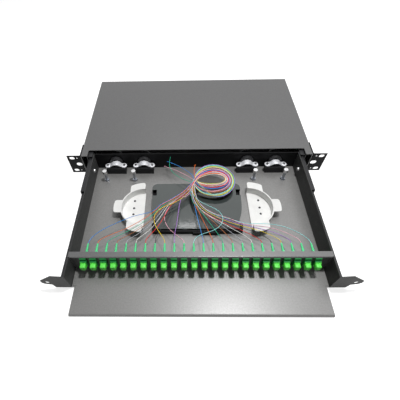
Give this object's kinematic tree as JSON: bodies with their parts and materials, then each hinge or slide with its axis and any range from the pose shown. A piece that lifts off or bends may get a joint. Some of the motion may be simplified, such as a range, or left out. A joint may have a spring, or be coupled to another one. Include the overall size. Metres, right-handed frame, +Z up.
{
  "type": "fibre optic patch panel",
  "caption": "Rack-mount fibre optic patch panel with its drawer slid out: capped adapters in front, splice tray, fibre rings, cable glands and coloured pigtails inside.",
  "frame": {"origin": "centre of the rack hole pattern, in the plane of the rear faces of the rack ears", "axes": "+X to the right seen from the front, +Y towards the rear of the rack, +Z up"},
  "size_m": [0.4826, 0.5265, 0.0436],
  "materials": {
    "powder_black": "satin powder coat",
    "dark_steel": "satin",
    "slide_black": "black passivated",
    "bright_screw": "plated",
    "black_screw": "satin",
    "saddle_steel": "bright",
    "pad_rubber": "matt",
    "gland_plastic": "matt",
    "adapter_green": "moulded",
    "cap_green": "moulded",
    "connector_green": "moulded",
    "boot_mint": "soft",
    "tray_smoke": "smoked",
    "tray_black": "moulded",
    "ring_white": "moulded",
    "fibre": "mixed colours"
  },
  "bodies": {
    "chassis": {"chassis_cover": "powder_black", "chassis_floor": "powder_black", "rack_ear_left": "powder_black", "rack_ear_right": "powder_black", "floor_screws": "bright_screw", "ear_screws": "bright_screw", "bracket_screws": "bright_screw", "slide_bracket_left": "slide_black", "slide_bracket_right": "slide_black", "slide_outer_left": "slide_black", "slide_outer_right": "slide_black", "outer_slide_screws": "bright_screw"},
    "drawer": {"drawer_floor": "powder_black", "drawer_rear_wall": "powder_black", "drawer_side_left": "powder_black", "drawer_side_right": "powder_black", "adapter_panel": "powder_black", "panel_screws": "black_screw", "front_plate": "powder_black", "adapters": "adapter_green", "dust_caps": "cap_green", "pigtail_connectors": "connector_green", "pigtail_boots": "boot_mint", "slide_inner_left": "slide_black", "slide_inner_right": "slide_black", "inner_slide_screws": "bright_screw", "gland_bodies": "gland_plastic", "gland_nuts": "gland_plastic", "gland_domes": "gland_plastic", "gland_seals": "pad_rubber", "clamp_brackets": "dark_steel", "clamp_pads": "pad_rubber", "clamp_saddles": "saddle_steel", "clamp_screws": "bright_screw", "strength_posts": "black_screw", "post_caps": "bright_screw", "splice_tray_base": "tray_black", "splice_tray_cover": "tray_smoke", "splice_holders": "tray_black", "tray_screws": "black_screw", "fibre_ring_left": "ring_white", "fibre_ring_right": "ring_white", "ring_rivets": "black_screw", "pigtails_left": "fibre", "pigtails_right": "fibre", "pigtail_trunk_left": "fibre", "pigtail_trunk_right": "fibre", "pigtail_coil": "fibre", "pigtail_free_ends": "fibre"},
    "slide_middle_body_left": {"slide_middle_left": "slide_black"},
    "outer_ball_cage_body_left": {"outer_ball_cage_left": "slide_black"},
    "inner_ball_cage_body_left": {"inner_ball_cage_left": "slide_black"},
    "slide_middle_body_right": {"slide_middle_right": "slide_black"},
    "outer_ball_cage_body_right": {"outer_ball_cage_right": "slide_black"},
    "inner_ball_cage_body_right": {"inner_ball_cage_right": "slide_black"}
  },
  "joints": [
    {"name": "drawer_slide", "type": "slide", "parent": "chassis", "child": "drawer", "axis": [0, 1, 0], "range_m": [0, 0.235]},
    {"name": "slide_middle_travel_left", "type": "slide", "parent": "chassis", "child": "slide_middle_body_left", "axis": [0, 1, 0], "range_m": [0, 0.08]},
    {"name": "outer_ball_cage_travel_left", "type": "slide", "parent": "chassis", "child": "outer_ball_cage_body_left", "axis": [0, 1, 0], "range_m": [0, 0.04]},
    {"name": "inner_ball_cage_travel_left", "type": "slide", "parent": "chassis", "child": "inner_ball_cage_body_left", "axis": [0, 1, 0], "range_m": [0, 0.1575]},
    {"name": "slide_middle_travel_right", "type": "slide", "parent": "chassis", "child": "slide_middle_body_right", "axis": [0, 1, 0], "range_m": [0, 0.08]},
    {"name": "outer_ball_cage_travel_right", "type": "slide", "parent": "chassis", "child": "outer_ball_cage_body_right", "axis": [0, 1, 0], "range_m": [0, 0.04]},
    {"name": "inner_ball_cage_travel_right", "type": "slide", "parent": "chassis", "child": "inner_ball_cage_body_right", "axis": [0, 1, 0], "range_m": [0, 0.1575]}
  ],
  "couplings": [
    {"joint": "slide_middle_travel_left", "follows": "drawer_slide", "ratio": 0.34043},
    {"joint": "outer_ball_cage_travel_left", "follows": "drawer_slide", "ratio": 0.17021},
    {"joint": "inner_ball_cage_travel_left", "follows": "drawer_slide", "ratio": 0.67021},
    {"joint": "slide_middle_travel_right", "follows": "drawer_slide", "ratio": 0.34043},
    {"joint": "outer_ball_cage_travel_right", "follows": "drawer_slide", "ratio": 0.17021},
    {"joint": "inner_ball_cage_travel_right", "follows": "drawer_slide", "ratio": 0.67021}
  ]
}
